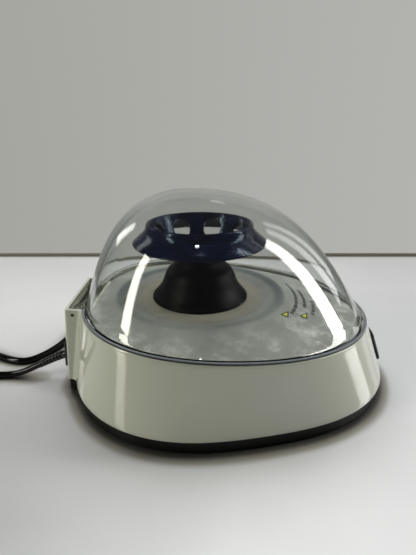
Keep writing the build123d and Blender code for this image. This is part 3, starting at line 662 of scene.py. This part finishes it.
secs = [block_section(s) for s in (0.0, 0.05, 0.3, 0.6, 0.9, 0.985)]
top = block_section(1.0)
secs += [shrink(top, 0.0) + np.array([0, 0, -0.28]), shrink(top, 0.1) + np.array([0, 0, -0.07]), shrink(top, 0.3) + np.array([0, 0, -0.01])]
blk = skin("hinge_box", secs, ivory, cap_first=True, cap_last=True)
boolean(shell, [blk], "UNION")
cut = [box_obj(-71.4, -60.8, -22.8, 22.8, 43.0, 60.0)]
for sgn in (-1, 1):
    cut.append(tube_obj((-68.8, sgn * 20.0, 48.8), (-68.8, sgn * 28.0, 48.8), 1.02))
NA = radians(20.5)
SW_X = XO + sum(CB) - (18.6 - Z_SHELL) * tan(NA) + 0.25
nrm = np.array([cos(NA), 0, sin(NA)])
upv = np.array([-sin(NA), 0, cos(NA)])
yv = np.array([0.0, 1.0, 0.0])
swo = np.array([SW_X, 0.0, 18.6])
rect = [(-6.6, -9.6), (6.6, -9.6), (6.6, 9.6), (-6.6, 9.6)]
cut.append(hull_prism("cut", rect, (swo, yv, upv, nrm), -12, 8))
cut.append(tube_obj((-95, -11.0, CORD_Z), (-71.8, -11.0, CORD_Z), 4.2))
cut.append(tube_obj((-95, -12.0, 31.0), (-71.8, -12.0, 31.0), 3.0))
boolean(shell, cut)
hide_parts("body_shell")
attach(shell, "base")

# ---------------------------------------------------------------- pan under the shell
pan_rings = []
for ins, z in [(4.4, 4.0), (4.4, 8.0), (1.1, 8.0), (0.85, 7.9), (0.8, 7.6), (1.0, 5.4), (1.2, 2.6), (1.35, 1.5), (1.8, 1.2)]:
    p = planform(CB, ins)
    pan_rings.append(np.column_stack([p, np.full(N, z)]))
pan = skin("pan_edge", pan_rings, pan_black, cap_first=True, cap_last=True)
tab = hull_prism("pan_tab", round_corners([(-75.7, -24.1), (-66.0, -24.1), (-66.0, 24.1), (-75.7, 24.1)], [1.3, 0, 0, 1.3]),
                 ((0, 0, 0), (1, 0, 0), (0, 1, 0), (0, 0, 1)), 1.2, 7.98, pan_black, bev=0.4)
for o in (pan, tab):
    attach(o, "base")

# ---------------------------------------------------------------- deck
RING_R, RING_Z, BOWL_R, BOWL_Z = 48.5, 53.0, 37.0, 50.8
edge_xy = planform(CR, 3.1)
az = np.arctan2(edge_xy[:, 1], edge_xy[:, 0])


def circ(r, z):
    return np.column_stack([r * np.cos(az), r * np.sin(az), np.full(N, z)])


def deck_slope(t, dz=0.0):
    a = rim_ring(3.1, -1.0)
    b1 = circ(RING_R * 1.02, RING_Z)
    q = a + t * (b1 - a)
    q[:, 2] += dz
    return q


deck_r = [rim_ring(3.1, -3.6), rim_ring(3.1, -1.25), rim_ring(3.18, -1.07), rim_ring(3.4, -0.98)]
deck_r += [deck_slope(t) for t in (0.05, 0.2, 0.4, 0.6, 0.8, 0.93)]
deck_r += [circ(49.9, 52.78), circ(49.3, 52.95), circ(48.5, 53.0), circ(47.6, 52.9), circ(46.8, 52.7)]
deck_r += [circ(44.0, 52.15), circ(40.5, 51.45), circ(38.2, 51.0), circ(37.0, 50.84), circ(35.5, 50.8)]
deck_r += [circ(30.0, 50.8), circ(21.0, 50.8), circ(20.6, 50.65), circ(20.5, 50.3), circ(20.5, 48.7), circ(46.5, 48.6), rim_ring(5.3, -3.7)]
deck = skin("deck_panel", deck_r, deck_mat, closed=True)
boolean(deck, [box_obj(-79.0, -59.1, -24.9, 24.9, 30.0, 70.0)])
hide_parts("deck")
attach(deck, "base")


def deck_z(x, y):
    """Height of the deck's slope at a point outside the ring."""
    a0 = atan2(y, x)
    r = hypot(x, y)
    k = int(np.argmin(np.abs((az - a0 + pi) % (2 * pi) - pi)))
    e = rim_ring(3.1, -1.0)[k]
    re = hypot(e[0], e[1])
    t = (re - r) / (re - RING_R * 1.02)
    return e[2] + t * (RING_Z - e[2])


# ---------------------------------------------------------------- cowl
cow = [(27.8, 50.9), (27.45, 52.0), (25.2, 54.3), (23.0, 57.4), (21.4, 60.5), (20.2, 64.2), (18.4, 67.4), (15.8, 69.8), (14.3, 72.0), (14.0, 74.0)]
outer = catmull(cow, 5)
prof_c = outer + [(14.0, 75.2), (13.85, 75.7), (13.5, 75.95), (13.0, 76.0), (4.4, 76.0), (4.0, 75.7), (4.0, 74.2), (12.2, 74.2), (12.3, 71.5), (14.0, 69.0), (16.6, 66.8), (18.3, 63.8), (19.5, 60.1), (21.2, 56.6), (23.5, 53.5), (25.6, 51.6), (26.0, 50.9)]
cowl = lathe("cowl", prof_c, cowl_black, n=160, origin=(0, 0, 0))
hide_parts("motor_cowl")
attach(cowl, "base")

# ---------------------------------------------------------------- rotor
rp = [(4.03, 78.6), (23.2, 78.6), (23.6, 78.75), (28.2, 89.6), (28.5, 89.9), (29.2, 89.95), (36.5, 84.0), (36.95, 83.35), (37.2, 83.2), (37.45, 83.35),
      (37.6, 83.75), (37.7, 84.05), (37.55, 84.35), (33.0, 88.45)]
rp += catmull([(32.2, 89.2), (31.3, 90.15), (30.6, 91.3), (30.2, 92.2), (30.05, 93.0)], 4)
rp += [(29.95, 93.7), (29.75, 94.3), (29.4, 94.7), (28.9, 94.9), (28.4, 94.7), (28.0, 94.25), (27.75, 93.7), (26.4, 90.9), (25.0, 87.6), (23.6, 84.3), (22.6, 81.7), (22.2, 81.15), (21.6, 81.0), (4.03, 81.0)]
rotor = lathe("rotor_body", rp, rotor_mat, n=224)
holes = []
for i in range(8):
    a = radians(27.5 + 45 * i)
    d = np.array([cos(a), sin(a), -1.0]) / sqrt(2)
    o = np.array([24.5 * cos(a), 24.5 * sin(a), 86.0])
    holes.append(tube_obj(o - 9 * d, o + 12 * d, 5.7, 56))
boolean(rotor, holes)
o = V(0, 0, 0)
rotor.data.transform(Matrix.Translation(-o))
rotor.location = o
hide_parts("rotor")
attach(rotor, "rotor")

# ---------------------------------------------------------------- clear lid
GAP = 0.15
FT = 1.5


def dome_ring(t, inset, drop):
    b0 = planform(CR, inset)
    bz = Z_RIM - TILT * b0[:, 0]
    w = (1 + np.cos(TH)) / 2
    A, B, C = [REAR_BZ[i] * (1 - w) + NOSE_BZ[i] * w for i in range(3)]
    d = (1 - t) ** 3 + 3 * (1 - t) ** 2 * t * (1 - A) + 3 * (1 - t) * t * t * C
    h = 3 * (1 - t) ** 2 * t * B + 3 * (1 - t) * t * t + t ** 3
    return np.column_stack([APEX_X + d * (b0[:, 0] - APEX_X), d * b0[:, 1], bz + h * (APEX_Z - drop - bz)])


# the flange stops short of the hinge box
base_xy = planform(CR, 0.0)
near = (base_xy[:, 0] < -40) & (np.abs(base_xy[:, 1]) < 25.2)
edge_in = np.where(near, 2.35, 0.2)


def flange_ring(extra, dz):
    ins = np.minimum(edge_in + extra, np.where(near, 2.38, 99))
    return rim_ring(ins, dz)


lid_r = []
ts = [0.0035, 0.03, 0.06, 0.1, 0.15, 0.2, 0.26, 0.32, 0.38, 0.44, 0.5, 0.56, 0.62, 0.68, 0.74, 0.8, 0.85, 0.9, 0.94, 0.97, 0.99]
by = np.clip((np.abs(base_xy[:, 1]) - 25.2) / 12.0, 0.0, 1.0)
foot_in = np.where(base_xy[:, 0] < -30.0, 2.4 - 0.5 * by * by * (3 - 2 * by), 1.9)
inner = [dome_ring(t, foot_in + 2.0, 2.0) for t in ts]
outer_d = [dome_ring(t, foot_in, 0.0) for t in ts]
lid_r += inner[::-1]
lid_r += [rim_ring(foot_in + 2.0, GAP), flange_ring(0.25, GAP), flange_ring(0.07, GAP + 0.08), flange_ring(0.0, GAP + 0.26), flange_ring(0.0, 1.02), flange_ring(0.0, FT - 0.3), flange_ring(0.08, FT - 0.09), flange_ring(0.28, FT)]
# small fillet from flange to dome
lid_r += [rim_ring(np.where(near, 2.39, foot_in - 0.6), np.where(near, FT + 0.02, FT)), rim_ring(np.where(near, 2.395, foot_in - 0.25), np.where(near, FT + 0.1, FT + 0.1))]
o2 = [r for r in outer_d]
lid_r += [dome_ring(0.026, foot_in, 0.0)] + o2[2:]
lid = skin("lid_clear", lid_r, clear, pole_first=True, pole_last=True, angle=40.0)
lid.data.materials.append(flange_shade_mat)
lid.data.materials.append(flange_reflection_mat)
lid.data.materials.append(flange_light_mat)
# painted light and shade: the flange's rear faces get the pale material, its front outer faces the dark one and its
# front top faces the blue-grey one
k0 = len(inner) + 3
for poly in lid.data.polygons:
    j = min(poly.vertices) // N
    if len(poly.vertices) != 4:
        continue
    rear_side = poly.center[1] > 0.012
    if rear_side and k0 - 4 <= j <= k0 + 4:
        poly.material_index = 3
    elif not rear_side and k0 <= j <= k0 + 4:
        poly.material_index = 1 if j <= k0 + 1 else 2
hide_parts("lid_dome")
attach(lid, "lid")

# hinge arms and knuckles
ux, uz = 0.8816, 0.4714
for k, y0 in enumerate((14.0, -19.0)):
    prof_a = []
    for j in range(25):
        a = atan2(uz, ux) + pi / 2 + (pi) * j / 24
        prof_a.append((-68.8 + 2.2 * cos(a), 48.8 + 2.2 * sin(a)))
    L = 6.9
    prof_a += [(-68.8 + 2.3 * ux + 1.4 * uz, 48.8 + 2.3 * uz - 1.4 * ux), (-68.8 + L * ux + 1.4 * uz, 48.8 + L * uz - 1.4 * ux),
               (-68.8 + L * ux - 1.4 * uz, 48.8 + L * uz + 1.4 * ux), (-68.8 + 2.3 * ux - 1.4 * uz, 48.8 + 2.3 * uz + 1.4 * ux)]
    arm = hull_prism("lid_arm_%d" % (k + 1), prof_a, ((0, y0, 0), (1, 0, 0), (0, 0, 1), (0, 1, 0)), 0.0, 5.0, clear, bev=0.25)
    boolean(arm, [tube_obj((-68.8, y0 - 1.0, 48.8), (-68.8, y0 + 6.0, 48.8), 1.12)])
    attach(arm, "lid")

# ---------------------------------------------------------------- rocker switch
bez = hull_prism("rocker_frame", round_corners([(-7.5, -10.5), (7.5, -10.5), (7.5, 10.5), (-7.5, 10.5)], [3.4] * 4, 8), (swo, yv, upv, nrm), -0.1, 1.75, rocker_black, bev=1.1, seg=6)
pocket = hull_prism("cut", round_corners([(-5.3, -8.4), (5.3, -8.4), (5.3, 8.4), (-5.3, 8.4)], [0.5] * 4, 3), (swo, yv, upv, nrm), -9.0, 6.0)
house = hull_prism("housing", [(-6.4, -9.4), (6.4, -9.4), (6.4, 9.4), (-6.4, 9.4)], (swo, yv, upv, nrm), -13.0, 0.2)
boolean(bez, [house], "UNION")
boolean(bez, [pocket])
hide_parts("rocker_bezel")
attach(bez, "base")


def rock(y, z, deg):
    c, s = cos(radians(deg)), sin(radians(deg))
    return (c * y - s * (z + 2), s * y + c * (z + 2) - 2)


pp = [(-7.2, 0.5), (-6.7, 1.0), (-3.0, 1.2), (0.0, 1.3), (3.0, 1.2), (6.7, 1.0), (7.2, 0.5), (6.6, -2.5), (2.0, -5.6), (-2.0, -5.6), (-6.6, -2.5)]
pp = round_corners(pp, [0.25, 0.5, 0, 6.0, 0, 0.5, 0.25, 0, 0, 0, 0], 5)
pp = [rock(y, z, -12.0) for y, z in pp]
if area2(np.array([(a, c, 0) for a, c in pp])) < 0:
    pp = pp[::-1]
pad = hull_prism("rocker_paddle_cap", pp, (swo - 5.0 * yv, upv, nrm, yv), 0.0, 10.0, rocker_black, bev=0.35)
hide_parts("rocker_paddle")
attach(pad, "rocker")

# ---------------------------------------------------------------- back: cord plate, strain relief
ang_b = atan2(3.0, Z_RIM + TILT * 73.0 - 8.0)
pn = np.array([-cos(ang_b), 0, sin(ang_b)])
pu = np.array([sin(ang_b), 0, cos(ang_b)])
po = np.array([back_x(18.7), -6.0, 18.7])
plate = hull_prism("cord_plate_cap", round_corners([(-10.5, -7.7), (10.5, -7.7), (10.5, 7.7), (-10.5, 7.7)], [1.2] * 4, 5), (po, yv, pu, pn), 0.02, 3.9, rocker_black, bev=0.5)
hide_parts("cord_plate")
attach(plate, "base")

# tapered, ribbed strain relief that follows the lead's own line
line = [np.array([(p.x * 1000 + X_MID), p.y * 1000, p.z * 1000]) for p in lead_line]
seg = [0.0]
for i in range(1, len(line)):
    seg.append(seg[-1] + np.linalg.norm(line[i] - line[i - 1]))


def on_line(d):
    i = int(np.searchsorted(seg, d)) - 1
    i = max(0, min(i, len(line) - 2))
    t = (d - seg[i]) / max(1e-9, seg[i + 1] - seg[i])
    return line[i] + t * (line[i + 1] - line[i]), (line[i + 1] - line[i]) / np.linalg.norm(line[i + 1] - line[i])


def along(name, stations, mat, n=40):
    """A round sleeve about the lead: stations are (distance along, radius)."""
    rings = []
    for d, r in stations:
        p, t = on_line(d)
        t = Vector(t)
        x = Vector((0, 1, 0)).cross(t).normalized()
        y = t.cross(x)
        rings.append(np.array([p + np.array(x * cos(2 * pi * k / n) + y * sin(2 * pi * k / n)) * r for k in range(n)]))
    return skin(name, rings, mat, cap_first=True, cap_last=True, angle=50)


st = [(1.6, 3.4), (3.3, 3.4), (3.7, 3.15), (3.9, 2.7)]
for k in range(7):
    d0 = 4.2 + k * 2.3
    r0 = 2.62 - 0.06 * k
    st += [(d0, r0), (d0 + 1.55, r0 - 0.03), (d0 + 1.72, r0 - 0.17), (d0 + 2.12, r0 - 0.18)]
st += [(20.6, 2.18), (22.4, 2.13), (22.8, 2.02), (22.9, 1.85)]
relief = along("strain_relief_sleeve", st, cord_black)
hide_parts("strain_relief")
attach(relief, "base")

# ---------------------------------------------------------------- carried-over CAD nodes
look = {
    "base_pan": pan_black, "rubber_feet": foot_rubber, "pan_screws": steel, "motor_can": steel, "motor_plate": steel,
    "motor_grommets": foot_rubber, "motor_screws": steel, "motor_shaft": steel, "rotor_hub": alu, "rotor_nut": alu,
    "hinge_pin": pin_steel, "lid_magnet": steel, "reed_switch": rocker_black, "fuse_cap": light_grey, "plug_body": plug_black,
    "plug_pins": brass, "circuit_board": board_green, "board_capacitors": alu_dark, "transformer": core_dark,
}
for name, mt in look.items():
    ob = nodes[name]
    if not ob.material_slots:
        ob.data.materials.append(mt)
    for s in ob.material_slots:
        s.material = mt
    ob.data.polygons.foreach_set("use_smooth", [True] * len(ob.data.polygons))
    ob.data.set_sharp_from_angle(angle=radians(30))

# ---------------------------------------------------------------- generic marks on the deck
marks_v, marks_f = [], []


def arc_mark(r, a0, a1, w, breaks):
    """A thin broken arc lying on the deck."""
    n = max(4, int(abs(a1 - a0) / 0.62))
    for i in range(n):
        if breaks[i % len(breaks)] == 0:
            continue
        q = []
        for rr, aa in ((r - w / 2, a0 + (a1 - a0) * i / n), (r + w / 2, a0 + (a1 - a0) * i / n), (r + w / 2, a0 + (a1 - a0) * (i + 1) / n), (r - w / 2, a0 + (a1 - a0) * (i + 1) / n)):
            x, y = rr * cos(radians(aa)), rr * sin(radians(aa))
            q.append((x, y, deck_z(x, y) + 0.05))
        b0 = len(marks_v)
        marks_v.extend([tuple(M(p)) for p in q])
        marks_f.append((b0, b0 + 1, b0 + 2, b0 + 3))


arc_mark(56.0, -28.5, 17.5, 1.9, [1, 1, 0, 1, 0, 1, 1, 1, 0])
arc_mark(60.7, -15.5, 9.0, 1.9, [1, 1, 0, 1, 1, 1, 0])
arc_mark(65.6, -20.0, -3.0, 1.9, [1, 1, 0, 1, 0, 1, 1, 1, 0])
mk = new_obj("deck_marks", marks_v, marks_f, ink, smooth=False)
def triangles(name, r, up, mat):
    tv, tf = [], []
    for cx, cy in ((45.6, -29.0), (56.4, -25.9)):
        for px, py in ((1.1, -2.6), (2.4, 4.0), (-3.1, -1.3)):
            x, y = cx + r * px, cy + r * py
            tv.append(tuple(M((x, y, deck_z(x, y) + up))))
        tf.append((len(tv) - 3, len(tv) - 2, len(tv) - 1))
    return new_obj(name, tv, tf, mat, smooth=False)


tri = triangles("deck_triangles", 0.58, 0.15, yellow)
tri_b = triangles("deck_triangle_borders", 1.0, 0.10, ink)
for o in (mk, tri, tri_b):
    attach(o, "base")

# ---------------------------------------------------------------- bench
bench, nt, b = new_mat("bench_top")
bcol = ramp(nt, noise(nt, 6.0, 6.0, 0.6), [(0.3, (0.66, 0.665, 0.67)), (0.7, (0.73, 0.735, 0.74))])
bs = node(nt, "ShaderNodeSeparateXYZ")
nt.links.new(coords(nt), bs.inputs["Vector"])
# painted light: the bench is painted lighter towards the near side and darker towards the far side
bench_near_far_light = ramp(nt, remap(nt, bs.outputs["Y"], 0.0, 1.0, -0.16, 0.20), [(0.0, gray(1.0)), (0.42, gray(0.86)), (1.0, gray(0.74))])
# painted shade: the near left corner of the bench is painted darker, and a painted contact shadow darkens the bench
# where the machine stands
bleft = ramp(nt, remap(nt, bs.outputs["X"], 0.0, 1.0, -0.13, 0.0), [(0.0, gray(1.0)), (1.0, gray(0.0))])
bfront = ramp(nt, remap(nt, bs.outputs["Y"], 0.0, 1.0, -0.11, 0.02), [(0.0, gray(1.0)), (1.0, gray(0.0))])
bench_corner_shade = mixc(nt, mixc(nt, 1.0, bleft, bfront, "MULTIPLY"), (1.0, 1.0, 1.0), (0.45, 0.45, 0.45))
# painted shade: the right end of the bench is painted slightly darker
bench_right_end_shade = ramp(nt, remap(nt, bs.outputs["X"], 0.0, 1.0, 0.05, 0.16), [(0.0, gray(1.0)), (1.0, gray(0.88))])
# painted contact shadow: ambient occlusion darkens and browns the bench colour close to the machine's base
bao = node(nt, "ShaderNodeAmbientOcclusion")
bao.inputs["Distance"].default_value = 0.0095
bench_contact_shadow = ramp(nt, bao.outputs["AO"], [(0.0, (0.02, 0.02, 0.02)), (0.60, (0.10, 0.10, 0.09)), (0.70, (0.38, 0.36, 0.30)), (0.86, (0.56, 0.54, 0.48)), (0.94, (0.90, 0.90, 0.89)), (1.0, (1.0, 1.0, 1.0))])
bbase = mixc(nt, 1.0, mixc(nt, 1.0, bcol, (0.905, 0.905, 0.912), "MULTIPLY"), bench_near_far_light, "MULTIPLY")
nt.links.new(mixc(nt, 1.0, mixc(nt, 1.0, mixc(nt, 1.0, bbase, bench_right_end_shade, "MULTIPLY"), bench_corner_shade, "MULTIPLY"), bench_contact_shadow, "MULTIPLY"), b.inputs["Base Color"])
nt.links.new(remap(nt, noise(nt, 20.0, 5.0), 0.07, 0.16, 0.3, 0.7), b.inputs["Roughness"])
b.inputs["Specular IOR Level"].default_value = 0.5
YB = 229.0
fl = new_obj("bench", [M((-1600, -1500, 0)), M((1600, -1500, 0)), M((1600, YB, 0)), M((-1600, YB, 0))], [(0, 1, 2, 3)], bench, smooth=False)
# painted shadow: a dark brownish strip along the bench's back edge stands in for the shadow line where the bench meets
# the wall
bench_wall_shadow_mat, nt, b = new_mat("bench_edge")
b.inputs["Base Color"].default_value = (0.20, 0.19, 0.165, 1)
b.inputs["Roughness"].default_value = 0.7
bench_wall_shadow_strip = box_obj(-1600, 1600, YB, YB + 2.0, -1.0, 3.2, "bench_edge")
bench_wall_shadow_strip.data.materials.append(bench_wall_shadow_mat)

# ---------------------------------------------------------------- light
world = bpy.data.worlds.new("room")
scene.world = world
world.use_nodes = True
wn = world.node_tree
bg = wn.nodes["Background"]
tc = node(wn, "ShaderNodeTexCoord")
sx = node(wn, "ShaderNodeSeparateXYZ")
wn.links.new(tc.outputs["Generated"], sx.inputs["Vector"])
room = ramp(wn, remap(wn, sx.outputs["Y"], 0.0, 1.0, -1.0, 1.0), [(0.0, (0.012, 0.012, 0.013)), (0.38, (0.02, 0.02, 0.022)), (0.52, (0.12, 0.12, 0.12)), (0.68, (0.33, 0.335, 0.32)), (1.0, (0.40, 0.405, 0.375))])
upr = ramp(wn, remap(wn, sx.outputs["Z"], 0.0, 1.0, -1.0, 1.0), [(0.62, gray(0.0)), (0.95, gray(1.0))])
xabs = node(wn, "ShaderNodeMath", operation="ABSOLUTE")
wn.links.new(sx.outputs["X"], xabs.inputs[0])
narrow = ramp(wn, xabs.outputs["Value"], [(0.30, gray(1.0)), (0.55, gray(0.5)), (0.85, gray(0.28))])
roomc = mixc(wn, upr, mixc(wn, 1.0, room, narrow, "MULTIPLY"), (0.06, 0.06, 0.062))
side = ramp(wn, remap(wn, sx.outputs["X"], 0.0, 1.0, -0.45, 0.45), [(0.0, (0.375, 0.38, 0.35)), (1.0, (0.45, 0.455, 0.425))])
lpw = node(wn, "ShaderNodeLightPath")
wall_seen = mixc(wn, lpw.outputs["Is Camera Ray"], roomc, side)
wn.links.new(wall_seen, bg.inputs["Color"])
bg.inputs["Strength"].default_value = 1.0


def area(name, azim, e0, e1, daz, dist, radiance, col, target=(0, 0, 80)):
    """A flat panel seen from the machine between elevations e0 and e1, daz wide, standing upright at dist mm."""
    L = bpy.data.lights.new(name, "AREA")
    L.shape = "RECTANGLE"
    w = 2 * dist * tan(radians(daz / 2))
    z0, z1 = target[2] + dist * tan(radians(e0)), target[2] + dist * tan(radians(e1))
    z0 = max(z0, 5.0)
    h = z1 - z0
    L.size, L.size_y = w * 0.001, h * 0.001
    L.energy = radiance * pi * (w * 0.001) * (h * 0.001)
    L.color = col
    ob = bpy.data.objects.new(name, L)
    scene.collection.objects.link(ob)
    a = radians(azim)
    ob.location = V(target[0] + dist * sin(a), target[1] - dist * cos(a), (z0 + z1) / 2)
    # the panel faces the machine: its -Z points back along the azimuth
    d = Vector((-sin(a), cos(a), 0.0))
    ob.rotation_euler = d.to_track_quat("-Z", "Y").to_euler()
    return ob


area("window_left", -63.0, 3.0, 42.0, 9.5, 900, 13.8, (1.0, 0.985, 0.85))
area("window_right", 93.3, 1.5, 48.0, 14.2, 900, 10.6, (1.0, 0.99, 0.96))
area("window_right_2", 116.0, 1.0, 46.0, 9.0, 900, 1.9, (0.98, 0.99, 1.0))
area("window_right_3", 129.0, 0.0, 44.0, 7.0, 900, 1.3, (0.98, 0.99, 1.0))
area("window_back_left", -124.0, 14.0, 34.0, 10.0, 900, 3.6, (1.0, 0.99, 0.93))
area("lamp_back", 170.0, 39.7, 40.2, 7.0, 900, 6.0, (0.95, 0.94, 1.0))
for nm, az, lev in (("left_soft", -95.0, 2.5), ("right_soft", 102.0, 2.0)):
    soft = area(nm, az, 2.0, 40.0, 30.0, 900, lev, (1.0, 0.99, 0.93))
    soft.visible_glossy = False
    soft.visible_transmission = False
    soft.visible_camera = False
spot = bpy.data.lights.new("lamp_top", "AREA")
spot.shape = "DISK"
spot.size = 0.036
spot.energy = 70.0 * pi * pi * 0.018 ** 2
spot.color = (0.86, 0.90, 1.0)
spot_o = bpy.data.objects.new("lamp_top", spot)
scene.collection.objects.link(spot_o)
spot_o.location = V(46.5, -385, 926)
spot_o.rotation_euler = (Vector((-0.05, 0.38, -0.92))).to_track_quat("-Z", "Y").to_euler()
top_l = bpy.data.lights.new("ceiling", "AREA")
top_l.shape = "RECTANGLE"
top_l.size, top_l.size_y = 2.2, 1.4
top_l.energy = 34.5
top_l.color = (0.98, 0.99, 1.0)
top_o = bpy.data.objects.new("ceiling", top_l)
scene.collection.objects.link(top_o)
top_o.location = V(0, 900, 1600)
top_o.rotation_euler = (Vector((0, -0.5, -1.0))).to_track_quat("-Z", "Y").to_euler()
top_o.visible_glossy = False
top_o.visible_transmission = False

bpy.context.view_layer.update()
